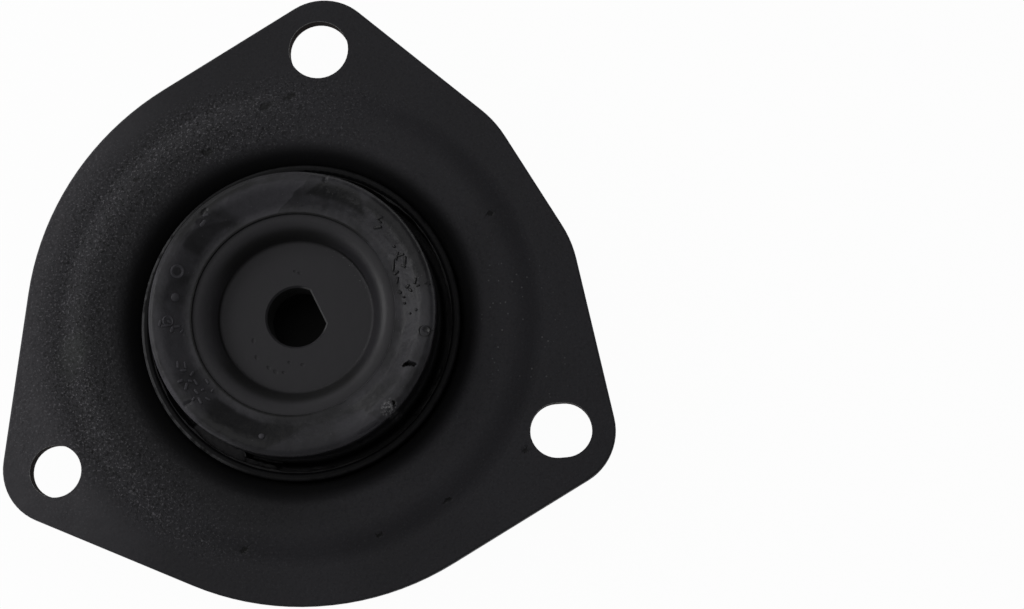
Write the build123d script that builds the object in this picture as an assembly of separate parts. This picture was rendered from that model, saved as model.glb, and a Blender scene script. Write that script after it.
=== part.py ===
from build123d import *
import os
from math import acos, atan2, cos, degrees, radians, sin, tan

# Strut mount in millimetres. The origin is on the rod hole's axis, in the plane of the
# flange face that seats against the car's body. +Z points to the spring side, where the
# damper rod comes in, and the drawn cup hangs below the flange.

# Pressed plate: sheet, bolt holes and blank
plate_thickness = 3.0
bolt_circle_radius = 60.0
top_bolt_angle = 87.5
left_bolt_angle = 212.0
slot_bolt_angle = 337.0
top_hole_diameter = 13.0
left_hole_diameter = 11.0
slot_width = 11.5
slot_length = 13.0
slot_turn = 4.5
lobe_radius = 12.0
top_lobe_shift = (0.9, -0.6)
left_lobe_shift = (0.7, 0.9)
slot_lobe_shift = (-0.6, -0.1)
blank_radius = 60.3
blank_shift = (1.3, 0.5)
blank_edge_radius = 0.5

# Straight trim on one side of the blank, with a short flat between two soft corners
trim_angle = 31.7
trim_reach = 56.7
trim_land = 23.3
trim_corner_radius = 24.0

# Raised shoulder and drawn cup, measured on the sheet's middle, heights above the flange
collar_width = 12.0
shoulder_run = 4.4
shoulder_rise = 1.6
collar_fall = 0.4
shoulder_inside_bend = 6.0
mouth_inside_bend = 3.6
cup_depth = 17.0
cup_inside_bend = 2.0

# Outer sleeve pressed into the cup
sleeve_outer_radius = 34.0
sleeve_thickness = 1.7
sleeve_top_height = 3.0
sleeve_rim_width = 6.0
sleeve_inside_bend = 1.1
sleeve_edge_radius = 0.6

# Core of two equal dished shells, stacked back to back
core_thickness = 4.0
core_seat_height = 7.2
core_dish_depth = 4.2
core_dish_run = 1.9
core_inner_cover = 1.8
core_outer_cover = 3.2
core_floor_bend = 0.8
core_shoulder_bend = 0.2

# D-shaped rod hole through both shells
rod_hole_diameter = 12.6
rod_flat_distance = 4.9
rod_flat_angle = 27.0
rod_hole_chamfer = 0.4

# Rubber body moulded round the core and inside the sleeve
disc_height = 15.0
disc_ring_width = 8.6
disc_edge_radius = 1.4
disc_crown_radius = 3.6
disc_slope_run = 4.2
disc_land_width = 1.6
disc_land_height = 0.5
disc_land_edge = 0.2
disc_land_fillet = 3.0
disc_draft = 0.3
groove_width = 2.6
groove_depth = 7.0
groove_fillet = 1.0
lip_width = 2.6
lip_height = 1.2
lip_clearance = 0.3
lip_fillet = 1.0

# Radii that follow from the sizes above, from the sleeve outwards and then inwards
shoulder_top_radius = sleeve_outer_radius + collar_width
shoulder_foot_radius = shoulder_top_radius + shoulder_run
sleeve_wall = sleeve_outer_radius - sleeve_thickness / 2
sleeve_rim_radius = sleeve_outer_radius - sleeve_rim_width
disc_radius = sleeve_outer_radius - sleeve_thickness - groove_width
seam_radius = disc_radius - disc_ring_width
core_flange_radius = disc_radius - core_outer_cover
core_shoulder_radius = seam_radius - core_inner_cover
core_floor_radius = core_shoulder_radius - core_dish_run
cup_opening_radius = seam_radius + lip_width + lip_clearance

# Heights that follow from the sizes above
cup_floor = plate_thickness - cup_depth
sleeve_foot = cup_floor + sleeve_thickness / 2
core_joint = core_seat_height - core_thickness
shell_floor = core_thickness / 2
shell_flange = shell_floor + core_dish_depth
seam_height = core_dish_depth + core_thickness


def polar(radius, angle):
    """Point at a radius and an angle in degrees in the plane of the flange."""
    return Vector(radius * cos(radians(angle)), radius * sin(radians(angle)))


def belt(circles):
    """Face inside a tight belt that runs anticlockwise round (centre, radius) circles."""
    following = circles[1:] + circles[:1]
    normals = []
    for (centre, radius), (next_centre, next_radius) in zip(circles, following):
        run = next_centre - centre
        heading = degrees(atan2(run.Y, run.X))
        normals.append(heading - degrees(acos((radius - next_radius) / run.length)))
    edges = []
    for index, (centre, radius) in enumerate(circles):
        arrival = normals[index - 1]
        leave = normals[index]
        next_centre, next_radius = following[index]
        edges.append(CenterArc(centre, radius, arrival, (leave - arrival) % 360))
        edges.append(Line(centre + polar(radius, leave), next_centre + polar(next_radius, leave)))
    return make_face(edges)


def beside(points, distance):
    """Corners of the line that runs at a distance to the left of the line through points."""
    corners = [Vector(*point) for point in points]
    normals = [(b - a).rotate(Axis.Z, 90).normalized() for a, b in zip(corners, corners[1:])]
    moved = [corners[0] + normals[0] * distance]
    for corner, before, after in zip(corners[1:], normals, normals[1:]):
        middle = before + after
        moved.append(corner + middle * (distance / middle.dot(before)))
    return moved + [corners[-1] + normals[-1] * distance]


def turns_left(before, corner, after):
    """Whether the line through three points turns left at the middle one."""
    arrival = Vector(*corner) - Vector(*before)
    leave = Vector(*after) - Vector(*corner)
    return arrival.cross(leave).Z > 0


def pressed_sheet(points, inside_bends, thickness):
    """Sheet of one thickness turned about Z, whose middle runs through (radius, height) points.

    Each bend has the given radius on its inner side, and a sheet's thickness more outside.
    """
    lefts = [turns_left(*trio) for trio in zip(points, points[1:], points[2:])]
    left_bends = [b if left else b + thickness for b, left in zip(inside_bends, lefts)]
    right_bends = [b + thickness if left else b for b, left in zip(inside_bends, lefts)]
    left_side = FilletPolyline(beside(points, thickness / 2), radius=left_bends)
    right_side = FilletPolyline(beside(points, -thickness / 2), radius=right_bends)
    ends = [Line(left_side @ end, right_side @ end) for end in (0, 1)]
    section = make_face(left_side.edges() + right_side.edges() + ends)
    return revolve(Plane.XZ * section, Axis.Z)


def bolt_centres():
    """Centres of the top hole, the left hole and the slot."""
    angles = (top_bolt_angle, left_bolt_angle, slot_bolt_angle)
    return [polar(bolt_circle_radius, angle) for angle in angles]


def blank_outline():
    """Outline of the blank: a round disc with three lobes, trimmed straight on one side."""
    top, left, slot = bolt_centres()
    middle = Vector(*blank_shift)
    trim_middle = middle + polar(trim_reach - trim_corner_radius, trim_angle)
    half_land = polar(trim_land / 2, trim_angle + 90)
    return belt(
        [
            (slot + Vector(*slot_lobe_shift), lobe_radius),
            (trim_middle - half_land, trim_corner_radius),
            (trim_middle + half_land, trim_corner_radius),
            (top + Vector(*top_lobe_shift), lobe_radius),
            (middle, blank_radius),
            (left + Vector(*left_lobe_shift), lobe_radius),
            (middle, blank_radius),
        ]
    )


def bolt_holes():
    """Tools that cut the two round holes and the slot through the flange."""
    top, left, slot = bolt_centres()
    sketches = [
        Pos(*top) * Circle(top_hole_diameter / 2),
        Pos(*left) * Circle(left_hole_diameter / 2),
        Pos(*slot) * Rot(0, 0, slot_turn) * SlotOverall(slot_length, slot_width),
    ]
    reach = plate_thickness + shoulder_rise
    return [extrude(sketch, reach, both=True) for sketch in sketches]


def make_mount_plate():
    """Pressed plate: lobed flange, raised shoulder, rolled mouth and drawn cup with its floor."""
    half = plate_thickness / 2
    foot_bend = shoulder_inside_bend + plate_thickness
    foot_turn = atan2(shoulder_rise, shoulder_run)
    joint_radius = shoulder_foot_radius + foot_bend * tan(foot_turn / 2) + blank_edge_radius
    wall = sleeve_outer_radius + half
    shoulder = half + shoulder_rise
    middle = pressed_sheet(
        [
            (joint_radius, half),
            (shoulder_foot_radius, half),
            (shoulder_top_radius, shoulder),
            (wall, shoulder - collar_fall),
            (wall, cup_floor - half),
            (cup_opening_radius, cup_floor - half),
        ],
        [shoulder_inside_bend, shoulder_inside_bend, mouth_inside_bend, cup_inside_bend],
        plate_thickness,
    )
    flange = extrude(blank_outline(), plate_thickness)
    flange = fillet(flange.faces().sort_by(Axis.Z)[-1].edges(), blank_edge_radius)
    flange -= extrude(Circle(joint_radius), plate_thickness)
    return flange + middle - bolt_holes()


def make_outer_sleeve():
    """Sleeve with an inturned rim at its foot, pressed into the cup down to the cup's floor."""
    sleeve = pressed_sheet(
        [(sleeve_wall, sleeve_top_height), (sleeve_wall, sleeve_foot), (sleeve_rim_radius, sleeve_foot)],
        [sleeve_inside_bend],
        sleeve_thickness,
    )
    return fillet(sleeve.faces().sort_by(Axis.Z)[-1].edges(), sleeve_edge_radius)


def rod_hole():
    """Tool that cuts the D-shaped rod hole through both shells of the core."""
    radius = rod_hole_diameter / 2
    beyond = Pos(rod_flat_distance + radius, 0) * Rectangle(2 * radius, 4 * radius)
    profile = Rot(0, 0, rod_flat_angle) * (Circle(radius) - beyond)
    return Pos(0, 0, core_joint) * extrude(profile, core_thickness, both=True)


def core_shell():
    """One dished shell of the core, with its back on the flange plane and no rod hole yet."""
    return pressed_sheet(
        [
            (0, shell_floor),
            (core_floor_radius, shell_floor),
            (core_shoulder_radius, shell_flange),
            (core_flange_radius, shell_flange),
        ],
        [core_floor_bend, core_shoulder_bend],
        core_thickness,
    )


def core_shells():
    """The two shells of the core, back to back on their joint, with no rod hole yet."""
    shell = core_shell()
    return Pos(0, 0, core_joint) * shell, Pos(0, 0, core_joint) * shell.mirror(Plane.XY)


def bore_shell(shell, seat_height):
    """A shell with the rod hole cut, and its edge broken on the face at the seat's height."""
    bored = shell - rod_hole()
    rims = bored.edges().filter_by_position(Axis.Z, seat_height, seat_height)
    near = [rim for rim in rims if rim.bounding_box().diagonal < 2 * rod_hole_diameter]
    return chamfer(near, rod_hole_chamfer)


def ring_corners():
    """Corners of the disc's ring: a land at the seam, the slope and the crown, each with its fillet.

    No fillet is wider than the land or the crown leaves room for.
    """
    land = core_joint + seam_height + disc_land_height
    foot = seam_radius + disc_land_width
    crown = foot + disc_slope_run
    half_turn = tan(atan2(disc_height - land, disc_slope_run) / 2)
    flat = disc_land_width - disc_land_edge
    room = disc_radius - disc_edge_radius - crown
    return [
        (seam_radius, land, disc_land_edge),
        (foot, land, min(disc_land_fillet, flat / half_turn)),
        (crown, disc_height, min(disc_crown_radius, room / half_turn)),
    ]


def make_rubber_body(sleeve, shells):
    """Rubber body: the crowned disc, the groove round it, and the throat with its lip."""
    groove_floor = plate_thickness - groove_depth
    rim = sleeve_rim_radius + sleeve_thickness
    lip = cup_opening_radius - lip_clearance
    lip_end = cup_floor - lip_height
    corners = [
        *ring_corners(),
        (disc_radius, disc_height, disc_edge_radius),
        (disc_radius + disc_draft, groove_floor, groove_fillet),
        (sleeve_wall, groove_floor, 0),
        (sleeve_wall, sleeve_foot, 0),
        (rim, sleeve_foot, 0),
        (rim, cup_floor, 0),
        (lip, cup_floor, 0),
        (lip, lip_end, lip_fillet),
        (seam_radius, lip_end, lip_fillet),
        (seam_radius, core_joint - shell_flange, 0),
        (core_shoulder_radius, core_joint - shell_flange, 0),
        (core_floor_radius, core_joint - shell_floor, 0),
        (core_floor_radius, core_joint + shell_floor, 0),
        (core_shoulder_radius, core_joint + shell_flange, 0),
        (seam_radius, core_joint + shell_flange, 0),
    ]
    points = [(radius, height) for radius, height, _ in corners]
    fillets = [corner_fillet for _, _, corner_fillet in corners]
    section = make_face(FilletPolyline(points, radius=fillets, close=True))
    return revolve(Plane.XZ * section, Axis.Z) - [sleeve, *shells]


sleeve = make_outer_sleeve()
front_shell, back_shell = core_shells()
nodes = {
    "mount_plate": make_mount_plate(),
    "outer_sleeve": sleeve,
    "rubber_insulator": make_rubber_body(sleeve, [front_shell, back_shell]),
    "core_front_shell": bore_shell(front_shell, core_seat_height),
    "core_back_shell": bore_shell(back_shell, core_joint - core_thickness),
}

os.makedirs("parts", exist_ok=True)
for node, shape in nodes.items():
    shape.label = node
    export_step(shape, f"parts/{node}.step")
    print(node, round(shape.volume))
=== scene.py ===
"""Dresses the strut mount: coated steel, the moulded rubber with its marks and flash, a plain studio."""

from math import atan2, cos, degrees, hypot, radians, sin, tan

import bmesh
import bpy
from bpy.props import FloatProperty, FloatVectorProperty, IntProperty, PointerProperty
from mathutils import Matrix, Vector, noise
from mathutils.bvhtree import BVHTree


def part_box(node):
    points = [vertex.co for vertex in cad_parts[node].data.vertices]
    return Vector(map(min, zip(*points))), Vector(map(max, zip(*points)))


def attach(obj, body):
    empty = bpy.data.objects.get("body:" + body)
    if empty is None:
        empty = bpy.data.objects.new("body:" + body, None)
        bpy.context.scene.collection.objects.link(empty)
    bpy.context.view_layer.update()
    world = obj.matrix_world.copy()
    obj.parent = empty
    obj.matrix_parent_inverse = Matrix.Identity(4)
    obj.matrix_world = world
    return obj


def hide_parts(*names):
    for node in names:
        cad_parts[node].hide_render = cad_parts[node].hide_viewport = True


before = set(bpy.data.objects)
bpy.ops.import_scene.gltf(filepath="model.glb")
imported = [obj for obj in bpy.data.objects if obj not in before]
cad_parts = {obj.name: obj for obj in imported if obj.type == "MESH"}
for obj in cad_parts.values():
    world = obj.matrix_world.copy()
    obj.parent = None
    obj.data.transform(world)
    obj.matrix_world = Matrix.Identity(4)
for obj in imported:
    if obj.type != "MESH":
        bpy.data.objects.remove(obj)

bl_info = {
    "name": "Strut mount",
    "version": (1, 0, 0),
    "blender": (4, 5, 0),
    "location": "3D View > Sidebar > Strut mount",
    "description": "Finishes and moulded rubber of a strut mount around its solid model",
    "category": "Object",
}

BODY = "root"
MM = 0.001
FULL_TURN = radians(360)
WHITE = (1, 1, 1, 1)

# Corners of the solid pieces, lowest and highest
PLATE_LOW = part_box("mount_plate")[0]
SLEEVE_LOW, SLEEVE_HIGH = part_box("outer_sleeve")
RUBBER_LOW, RUBBER_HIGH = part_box("rubber_insulator")
FRONT_LOW, FRONT_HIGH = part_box("core_front_shell")
BACK_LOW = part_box("core_back_shell")[0]

CORE_DISH = 4.2    # depth of the core's dish, in millimetres

# Bolt holes and slot, as (radius, angle, half width) in millimetres and degrees
BOLT_HOLES = {
    "top": (60.0, 87.5, 6.5),
    "left": (60.0, 212.0, 5.5),
    "slot": (60.0, 337.0, 6.5),
}


def length(name, description, millimetres):
    """A size that is kept in metres and given here in millimetres."""
    return FloatProperty(name=name, description=description, default=millimetres * MM, unit="LENGTH")


def turn(name, description, angle):
    """An angle that is kept in radians and given here in degrees."""
    return FloatProperty(name=name, description=description, default=radians(angle), subtype="ANGLE")


def share(name, description, default):
    """A plain number between 0 and 1."""
    return FloatProperty(name=name, description=description, default=default, min=0, max=1)


def colour(name, description, red, green, blue):
    """A scene-linear colour."""
    return FloatVectorProperty(
        name=name, description=description, default=(red, green, blue, 1),
        subtype="COLOR", size=4, min=0, max=1,
    )


class RubberSizes(bpy.types.PropertyGroup):
    """Sizes of the moulded rubber body."""

    seam_radius: length("Seam radius", "Inner edge of the rubber ring on the steel core", 21.1)
    seam_step: length("Seam step", "Height of the rubber's edge over the steel", 0.5)
    seam_edge: length("Seam edge", "Rounding of the rubber's edge at the seam", 0.2)
    land_width: length("Land width", "Flat land next to the seam", 1.6)
    land_fillet: length("Land fillet", "Hollow rounding between the land and the slope", 3.0)
    slope_run: length("Slope run", "Radial run of the slope from the land to the crown", 4.2)
    top_drop: length("Top drop", "How far the ring's top lies below the highest mark", 0.26)
    disc_radius: length("Disc radius", "Outside of the ring at its top", 29.7)
    disc_draft: length("Disc draft", "How much wider the disc's foot is", 0.3)
    edge_radius: length("Edge radius", "Rounding of the ring's outer edge", 1.4)
    crown_radius: length("Crown radius", "Rounding between the slope and the top", 3.6)
    groove_floor: length("Groove floor", "Groove's floor over the flange's lower face", -4.0)
    groove_fillet: length("Groove fillet", "Rounding at the foot of the disc", 1.0)
    rim_radius: length("Rim radius", "Inner edge of the sleeve's inturned rim", 28.0)
    rim_thickness: length("Rim thickness", "Sheet thickness of the sleeve", 1.7)
    rim_bend: length("Rim bend", "Inner bend of the sleeve's foot", 1.1)
    lip_radius: length("Lip radius", "Outside of the lip in the cup's opening", 23.7)
    lip_rounding: length("Lip rounding", "Rounding of the lip's end", 1.0)
    throat_radius: length("Throat radius", "Inside of the lip under the core", 21.1)
    core_thickness: length("Core thickness", "Sheet thickness of the core", 4.0)
    core_neck: length("Core neck", "Radius where the core's flanges spread", 20.6)
    core_waist: length("Core waist", "Radius where the core's shells part", 18.7)
    unevenness: length("Unevenness", "Depth of the soft waves in the moulded skin", 0.09)
    wave: length("Wave length", "Width of one soft wave in the moulded skin", 7.0)
    steps: IntProperty(name="Steps", description="Steps round the full turn", default=540, min=64)


class DetailSizes(bpy.types.PropertyGroup):
    """Sizes of the moulding marks, the flash and the skin in the groove."""

    mark_height: length("Mark height", "How far a raised mark stands over the rubber", 0.26)
    mark_sink: length("Mark sink", "How deep a mark's foot lies in the rubber", 0.25)
    skin_thickness: length("Skin thickness", "Rubber skin on the sleeve's inner wall", 0.34)
    skin_drop: length("Skin drop", "How far the skin ends below the sleeve's edge", 0.55)
    flash_thickness: length("Flash thickness", "Thickness of the flash in the groove", 0.35)
    flash_height: length("Flash height", "Flash over the flange's lower face", 1.5)


class FinishColours(bpy.types.PropertyGroup):
    """Colours of the finishes."""

    coating: colour("Coating", "Black coating of the plate", 0.0186, 0.0181, 0.0212)
    # Coating light: dust with painted sheen on the peaks, and the painted light of the flange's left edge
    coating_dust_and_sheen: colour("Coating light", "Dusty peaks of the coating", 0.062, 0.060, 0.066)
    sleeve: colour("Sleeve", "Dull coating of the sleeve", 0.0042, 0.0042, 0.0048)
    # Worn steel and painted highlight: the sleeve's outer edge, most at the left; painted highlight along
    # the rod hole's flat
    worn_and_lit_edge: colour("Worn edge", "Steel that shows through a rubbed edge", 0.075, 0.075, 0.078)
    core: colour("Core", "Matte coating of the core", 0.0200, 0.0192, 0.0222)
    rubber: colour("Rubber", "Clean black rubber", 0.0045, 0.0044, 0.0054)
    # Dried film with painted reflections and painted highlights on the ring
    film_and_reflection: colour("Film", "Dried film on the rubber", 0.066, 0.064, 0.074)
    flash: colour("Flash", "Dull torn rubber", 0.0075, 0.0073, 0.0080)
    smear: colour("Smear", "Rubbed patch on the flange", 0.036, 0.040, 0.036)
    primer: colour("Primer", "Brown primer in the holes' walls", 0.010, 0.0045, 0.004)
    # Painted shade down in the plate's mouth and beside it at the lower left
    mouth: colour("Mouth", "Coating down in the plate's mouth", 0.0025, 0.0025, 0.003)
    # Dark pits, and painted shade at the dish's foot, along its crease and in the rod hole's bore
    grime_and_shade: colour("Grime", "Dark dirt in pits, creases and the rod hole", 0.002, 0.002, 0.002)
    # Painted shade inside the deep chips and along the seam
    tear_and_seam_shade: colour("Tear", "Rubber inside a tear and along the seam", 0.0015, 0.0015, 0.0015)
    dust: colour("Dust", "Pale specks", 0.16, 0.16, 0.165)
    floor: colour("Floor", "Pale studio floor", 0.86, 0.86, 0.86)
    floor_under: colour("Floor under the cup", "Floor in the cup's deep shade", 0.05, 0.05, 0.05)


class StageSizes(bpy.types.PropertyGroup):
    """Camera, lamps and floor."""

    camera_right: length("Camera right", "Camera's place along X", 55.9)
    camera_back: length("Camera back", "Camera's place along Y", -55.0)
    camera_height: length("Camera height", "Camera's place along Z", 336.4)
    camera_pitch: turn("Camera pitch", "Camera's turn about X", 9.888)
    camera_roll: turn("Camera roll", "Camera's turn about Y", 1.879)
    lens: FloatProperty(name="Lens", description="Focal length on a 36 mm sensor", default=56.27)
    floor_size: length("Floor size", "Half the floor's side", 3000.0)
    shade_radius: length("Shade radius", "Part of the floor that the cup shuts off", 31.0)
    sky: share("Sky", "Even light from all round", 0.20)
    floor_glow: share("Floor glow", "Share of the floor that shows as plain white", 0.97)


class Signal:
    """A shader socket that takes part in Python sums: each operation adds one Math node."""

    def __init__(self, nodes, socket):
        self.nodes = nodes
        self.socket = socket

    def math(self, operation, first, second):
        return self.nodes.node("ShaderNodeMath", {"operation": operation}, {0: first, 1: second})

    def __add__(self, other):
        return self.math("ADD", self, other)

    def __radd__(self, other):
        return self.math("ADD", other, self)

    def __sub__(self, other):
        return self.math("SUBTRACT", self, other)

    def __rsub__(self, other):
        return self.math("SUBTRACT", other, self)

    def __mul__(self, other):
        return self.math("MULTIPLY", self, other)

    def __rmul__(self, other):
        return self.math("MULTIPLY", other, self)

    def __truediv__(self, other):
        return self.math("DIVIDE", self, other)

    def __rtruediv__(self, other):
        return self.math("DIVIDE", other, self)

    def __pow__(self, other):
        return self.math("POWER", self, other)

    def __rpow__(self, other):
        return self.math("POWER", other, self)

    def above(self, other):
        """The larger of two values."""
        return self.math("MAXIMUM", self, other)


class Nodes:
    """A node tree under construction."""

    def __init__(self, tree):
        self.tree = tree
        tree.nodes.clear()

    def node(self, kind, settings=None, inputs=None, out=0):
        """Add a node: its settings first, then the values or links of its sockets."""
        made = self.tree.nodes.new(kind)
        for name, value in (settings or {}).items():
            setattr(made, name, value)
        for key, value in (inputs or {}).items():
            if isinstance(value, Signal):
                self.tree.links.new(value.socket, made.inputs[key])
            else:
                made.inputs[key].default_value = value
        return Signal(self, made.outputs[out]) if made.outputs else made

    def mix(self, factor, first, second):
        """Colour between two colours."""
        return self.node("ShaderNodeMix", {"data_type": "RGBA"}, {0: factor, 6: first, 7: second}, 2)

    def vector(self, operation, *inputs):
        """Vector Math of one operation."""
        return self.node("ShaderNodeVectorMath", {"operation": operation}, dict(enumerate(inputs)))

    def ramp(self, value, low, high):
        """Soft step from 0 at low to 1 at high."""
        limits = {"Value": value, "From Min": low, "From Max": high}
        return self.node("ShaderNodeMapRange", {"interpolation_type": "SMOOTHSTEP"}, limits)


class Finish(Nodes):
    """A material of one Principled shader, whose patterns are laid out in millimetres."""

    def __init__(self, name, **constants):
        self.material = bpy.data.materials.new(name)
        self.material.use_nodes = True
        super().__init__(self.material.node_tree)
        place = self.node("ShaderNodeTexCoord", out="Object")
        self.place = self.vector("MULTIPLY", place, (1 / MM, 1 / MM, 1 / MM))
        parts = self.node("ShaderNodeSeparateXYZ", inputs={0: self.place}).socket.node
        self.x, self.y, self.z = (Signal(self, part) for part in parts.outputs)
        self.radius = (self.x * self.x + self.y * self.y) ** 0.5
        self.constants = constants

    def grain(self, scale, detail, roughness=0.55, warp=0.0):
        """Noise between 0 and 1, with its scale in cycles for each millimetre."""
        inputs = {"Vector": self.place, "Scale": scale, "Detail": detail}
        inputs.update({"Roughness": roughness, "Distortion": warp})
        return self.node("ShaderNodeTexNoise", inputs=inputs, out="Fac")

    def cells(self, scale, feature="F1", out="Distance"):
        """Voronoi cells, with their scale in cells for each millimetre."""
        inputs = {"Vector": self.place, "Scale": scale}
        return self.node("ShaderNodeTexVoronoi", {"feature": feature}, inputs, out)

    def toward(self, angle, half, soft):
        """Mask of the sector about an angle, of a half width and a soft edge, all in degrees."""
        east, north = polar(1, angle)
        lined_up = (self.x * east + self.y * north) / self.radius.above(0.1)
        return self.ramp(lined_up, cos(radians(min(half + soft, 179))), cos(radians(half)))

    def turn_from(self, angle):
        """Signed angle in degrees from a direction, between -180 and 180."""
        east, north = polar(1, angle)
        turned_by = self.node(
            "ShaderNodeMath", {"operation": "ARCTAN2"},
            {0: self.y * east - self.x * north, 1: self.x * east + self.y * north},
        )
        return turned_by * degrees(1)

    def ring(self, inner, outer, soft):
        """Mask of a ring between two radii in millimetres."""
        return self.ramp(self.radius, inner - soft, inner + soft) * (
            1 - self.ramp(self.radius, outer - soft, outer + soft)
        )

    def spot(self, east, north, size, soft=0.4, stretch=1.0, angle=0.0, wobble=None):
        """Mask of a round or oval spot at a place in millimetres; soft is a share of its size."""
        run, rise = polar(1, angle)
        along = (self.x - east) * run + (self.y - north) * rise
        across = (self.y - north) * run - (self.x - east) * rise
        away = (along * along / stretch**2 + across * across) ** 0.5
        if wobble:
            away = away + wobble
        return 1 - self.ramp(away, size * (1 - soft), size)

    def bump(self, height, depth):
        """Normal of a height that varies by a depth in millimetres."""
        return self.node("ShaderNodeBump", inputs={"Height": height, "Distance": depth * MM})

    def close(self, **varying):
        """Put the shader in place, fed with what varies over the surface."""
        inputs = {name.replace("_", " "): value for name, value in self.constants.items()}
        inputs.update({name.replace("_", " "): value for name, value in varying.items()})
        shader = self.node("ShaderNodeBsdfPrincipled", inputs=inputs)
        self.node("ShaderNodeOutputMaterial", inputs={"Surface": shader})
        return self.material


def polar(distance, angle):
    """East and north of a place, from its distance to the axis and its angle in degrees."""
    return distance * cos(radians(angle)), distance * sin(radians(angle))


def scaled(colour, factor):
    """A colour made darker or lighter."""
    return tuple(factor * channel for channel in colour)


def total(values):
    """Sum of several values."""
    return sum(values[1:], values[0])


def largest(masks):
    """The largest of several masks."""
    most = masks[0]
    for mask in masks[1:]:
        most = most.above(mask)
    return most


# Dark pits in the coating, as (x, y, radius) in millimetres
PITS = (
    (40.3, 22.6, 0.8),
    (47.7, -27.6, 0.8),
    (-10.4, -48.2, 0.9),
    (17.6, -45.1, 0.7),
    (-8.7, 46.8, 1.3),
    (-3.3, 49.2, 1.0),
    (-20.6, 36.5, 1.1),
    (31.5, -38.0, 0.5),
    (-36.0, 30.5, 0.8),
)

# Radii in millimetres that the plate's finish follows
MOUTH = 36.0          # down in the rolled mouth
COLLAR = 39.0         # near the collar's inner edge
SHOULDER = 53.5       # past the foot of the raised shoulder
PAST_FLANGE = 66.0    # past the flange's left edge

# Heights in millimetres where the holes' walls pass into the sheet's faces
LOWER_FACE = (-0.05, 0.25)
UPPER_FACE = (2.45, 2.8)

# Rubbed patch at the left and band of specks at the right, as (x, y, size) in millimetres
RUBBED_PATCH = (-47.9, -7.2, 4.6)
SPECKLED_BAND = (47.0, -2.0, 12.0)


def hole_walls(f):
    """Mask of the bolt holes' walls, between the sheet's faces."""
    walls = largest([
        f.spot(*polar(distance, angle), size + 0.45, 0.05)
        for distance, angle, size in BOLT_HOLES.values()
    ])
    inside = f.ramp(f.z, *LOWER_FACE) * (1 - f.ramp(f.z, *UPPER_FACE))
    return walls * inside


def plate_finish(colours):
    """Black coated steel: orange peel, dust and painted sheen on the peaks at the upper left, painted
    shade in its hollows and mouth, a painted lighter left edge, pits and a rubbed patch.
    """
    f = Finish("coated_plate", Specular_IOR_Level=0.2)

    # Rough leather, with dust and painted sheen and shade on its relief: the collar's upper left, and the
    # left out to the edge
    rough_side = f.toward(166, 42, 70) * f.ring(COLLAR, SHOULDER, 3.0)
    rough_side = rough_side.above(f.toward(180, 24, 26) * f.ring(COLLAR, PAST_FLANGE, 4.0))
    rough_side = rough_side * (0.45 + 0.9 * f.grain(0.09, 2.0))

    # Relief of the coating
    peel = f.grain(0.75, 2.5, 0.6, 0.4)
    leather = f.cells(1.35, "SMOOTH_F1")
    fine = f.grain(3.2, 2.0, 0.6)
    height = peel * 0.55 + leather * (0.25 + 1.1 * rough_side) + fine * (0.2 + 0.9 * rough_side)
    pits = total([
        f.spot(east, north, size, 0.7, 1.7, 25, (f.grain(1.1, 2.0) - 0.5) * 1.6)
        for east, north, size in PITS
    ])

    # Dust and painted sheen on the peaks, painted shade in the hollows, and pale specks
    peaks = f.ramp(f.grain(2.0, 3.0, 0.7), 0.55, 0.67)
    shaded_hollows = 1 - f.ramp(f.grain(1.7, 1.0, 0.5, 0.6), 0.36, 0.47)
    dust_and_sheen = peaks * (0.07 + 0.93 * rough_side)
    specks = 1 - f.ramp(f.cells(0.85), 0.10, 0.2)
    chosen = f.ramp(f.cells(0.85, out="Color"), 0.52, 0.58)
    right_band = f.spot(*SPECKLED_BAND, 0.7, 2.1, 101)
    specks = specks * chosen * (0.03 + 0.16 * rough_side + 0.4 * right_band)
    smear = f.spot(*RUBBED_PATCH, 0.75, 1.7, 70, (f.grain(0.35, 3.0) - 0.5) * 4.0)
    smear = smear * (0.35 + 0.65 * f.grain(0.8, 3.0))
    # Painted light: the flange paler towards its left edge
    pale = f.toward(180, 26, 40) * f.ramp(f.radius, 51.0, 59.0)
    pale = pale * (0.6 + 0.8 * (f.grain(0.3, 3.0) - 0.2))

    # Painted shade: deep black in the mouth and beside it at the lower left
    inner_left_shade = f.toward(200, 50, 55) * (1 - f.ramp(f.radius, COLLAR, 50.0))
    mouth = 1 - f.ramp(f.radius, MOUTH, COLLAR + 0.8)
    walls = hole_walls(f)

    broad = f.grain(0.035, 2.0)
    shade = f.mix(f.ramp(broad, 0.35, 0.65), colours.coating, scaled(colours.coating, 1.22))
    shade = f.mix(shaded_hollows * (0.1 + 0.88 * rough_side), shade, scaled(colours.coating, 0.22))
    shade = f.mix(pale * 0.8, shade, colours.coating_dust_and_sheen)
    shade = f.mix(dust_and_sheen, shade, scaled(colours.coating_dust_and_sheen, 1.9))
    shade = f.mix(smear * 0.55, shade, colours.smear)
    shade = f.mix(pits * 0.85, shade, colours.grime_and_shade)
    shade = f.mix(specks, shade, colours.dust)
    shade = f.mix(inner_left_shade * 0.5, shade, colours.mouth)
    shade = f.mix(mouth * 0.92, shade, colours.mouth)
    shade = f.mix(walls, shade, colours.primer)
    gloss = 0.52 + 0.12 * (broad - 0.5) - 0.08 * peaks * rough_side + 0.1 * shaded_hollows
    gloss = gloss.above(0.95 * walls).above(0.9 * mouth)
    return f.close(Base_Color=shade, Roughness=gloss, Normal=f.bump(height - pits * 1.5, 0.10))


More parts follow.
